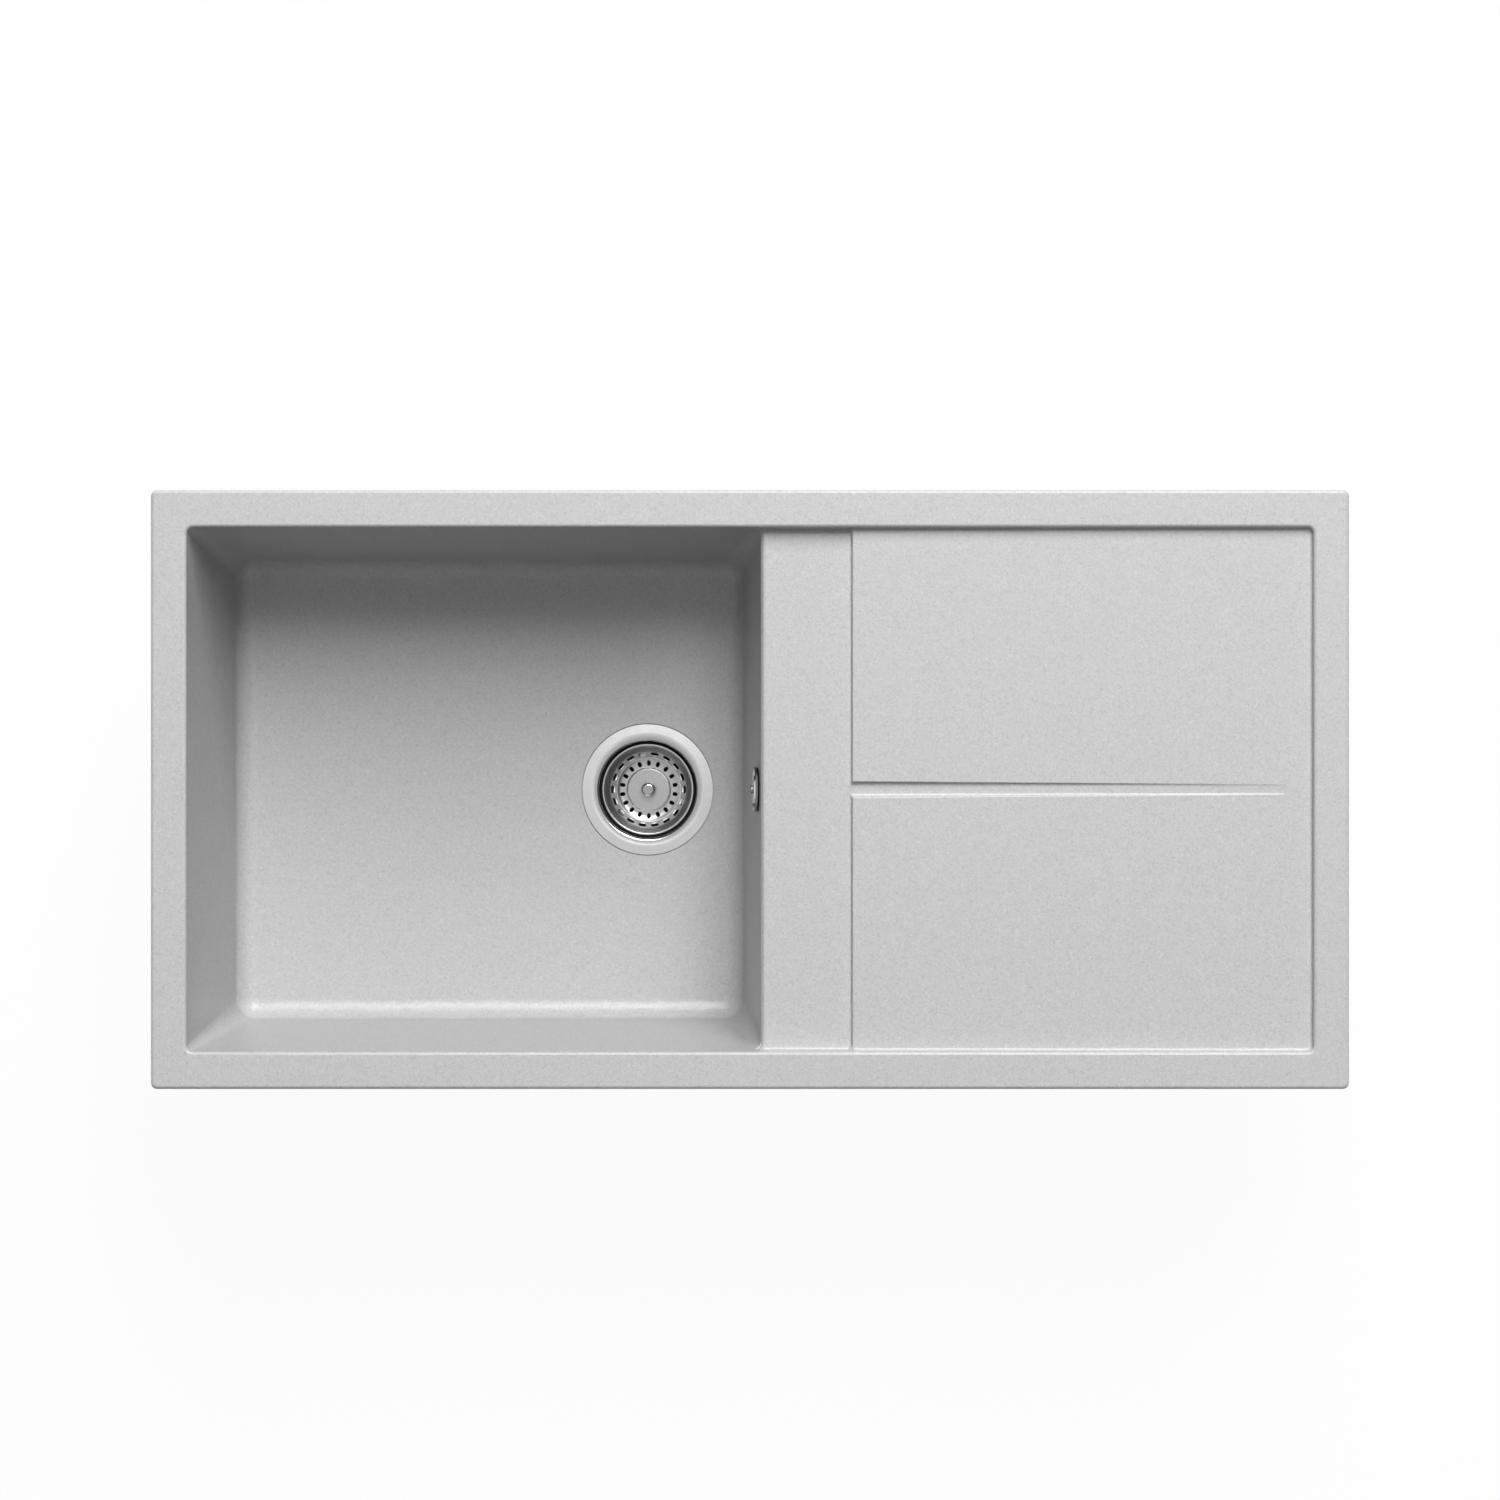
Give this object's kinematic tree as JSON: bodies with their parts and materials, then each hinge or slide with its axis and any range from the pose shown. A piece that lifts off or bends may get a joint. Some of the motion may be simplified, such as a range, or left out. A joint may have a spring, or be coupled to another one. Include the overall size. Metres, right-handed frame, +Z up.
{
  "type": "inset kitchen sink with drainer",
  "caption": "Rectangular inset kitchen sink moulded in granite composite: a deep bowl with a basket waste and an overflow, and a lower ledge and a grooved drainer beside it.",
  "frame": {"origin": "middle of the worktop's cut-out, on the worktop's surface, where the foam strip under the rim rests", "axes": "+X along the sink towards the drainer, +Y towards the back edge, +Z up"},
  "size_m": [1, 0.5, 0.3045],
  "materials": {
    "granite": "silky matt with a fine speckle",
    "foam": "closed-cell foam",
    "brass": "turned",
    "zinc_steel": "zinc plated",
    "satin_steel": "satin",
    "bright_steel": "polished",
    "black_rubber": "matt",
    "dark_plastic": "moulded",
    "clip_plastic": "moulded"
  },
  "bodies": {
    "sink": {"sink_body": "granite", "rim_seal_strip": "foam", "clamp_inserts": "brass", "waste_insert": "brass", "overflow_insert": "brass", "clamp_screws": "zinc_steel", "waste_cup": "satin_steel", "waste_screw": "satin_steel", "overflow_rosette": "bright_steel", "overflow_screw": "bright_steel", "cup_gasket": "black_rubber", "body_gasket": "black_rubber", "rosette_seal": "black_rubber", "overflow_gasket": "black_rubber", "upper_pipe_seal": "black_rubber", "lower_pipe_seal": "black_rubber", "waste_body": "dark_plastic", "overflow_elbow": "dark_plastic", "overflow_pipe": "dark_plastic", "upper_pipe_nut": "dark_plastic", "lower_pipe_nut": "dark_plastic"},
    "strainer_grip": {"strainer_clip": "clip_plastic"},
    "strainer": {"strainer_basket": "satin_steel", "strainer_seal": "black_rubber", "strainer_knob": "bright_steel", "strainer_stem": "satin_steel", "strainer_nut": "satin_steel"},
    "clamp_back_left_body": {"clamp_back_left": "zinc_steel"},
    "clamp_back_middle_body": {"clamp_back_middle": "zinc_steel"},
    "clamp_back_right_body": {"clamp_back_right": "zinc_steel"},
    "clamp_front_left_body": {"clamp_front_left": "zinc_steel"},
    "clamp_front_middle_body": {"clamp_front_middle": "zinc_steel"},
    "clamp_front_right_body": {"clamp_front_right": "zinc_steel"},
    "clamp_left_end_body": {"clamp_left_end": "zinc_steel"},
    "clamp_right_end_body": {"clamp_right_end": "zinc_steel"}
  },
  "joints": [
    {"name": "strainer_lift", "type": "slide", "parent": "sink", "child": "strainer_grip", "axis": [0, 0, 1], "range_m": [0, 0.26]},
    {"name": "strainer_turn", "type": "hinge", "parent": "strainer_grip", "child": "strainer", "pos_m": [-0.09097, 0, -0.2312], "axis": [0, 0, 1], "continuous": true},
    {"name": "clamp_back_left_swing", "type": "hinge", "parent": "sink", "child": "clamp_back_left_body", "pos_m": [-0.35, 0.233, -0.047], "axis": [0, 0, 1], "range_deg": [0, 90]},
    {"name": "clamp_back_middle_swing", "type": "hinge", "parent": "sink", "child": "clamp_back_middle_body", "pos_m": [0, 0.233, -0.047], "axis": [0, 0, 1], "range_deg": [0, 90]},
    {"name": "clamp_back_right_swing", "type": "hinge", "parent": "sink", "child": "clamp_back_right_body", "pos_m": [0.35, 0.233, -0.047], "axis": [0, 0, 1], "range_deg": [0, 90]},
    {"name": "clamp_front_left_swing", "type": "hinge", "parent": "sink", "child": "clamp_front_left_body", "pos_m": [-0.35, -0.233, -0.047], "axis": [0, 0, 1], "range_deg": [0, 90]},
    {"name": "clamp_front_middle_swing", "type": "hinge", "parent": "sink", "child": "clamp_front_middle_body", "pos_m": [0, -0.233, -0.047], "axis": [0, 0, 1], "range_deg": [0, 90]},
    {"name": "clamp_front_right_swing", "type": "hinge", "parent": "sink", "child": "clamp_front_right_body", "pos_m": [0.35, -0.233, -0.047], "axis": [0, 0, 1], "range_deg": [0, 90]},
    {"name": "clamp_left_end_swing", "type": "hinge", "parent": "sink", "child": "clamp_left_end_body", "pos_m": [-0.483, 0, -0.047], "axis": [0, 0, 1], "range_deg": [0, 90]},
    {"name": "clamp_right_end_swing", "type": "hinge", "parent": "sink", "child": "clamp_right_end_body", "pos_m": [0.483, 0, -0.047], "axis": [0, 0, 1], "range_deg": [0, 90]}
  ]
}
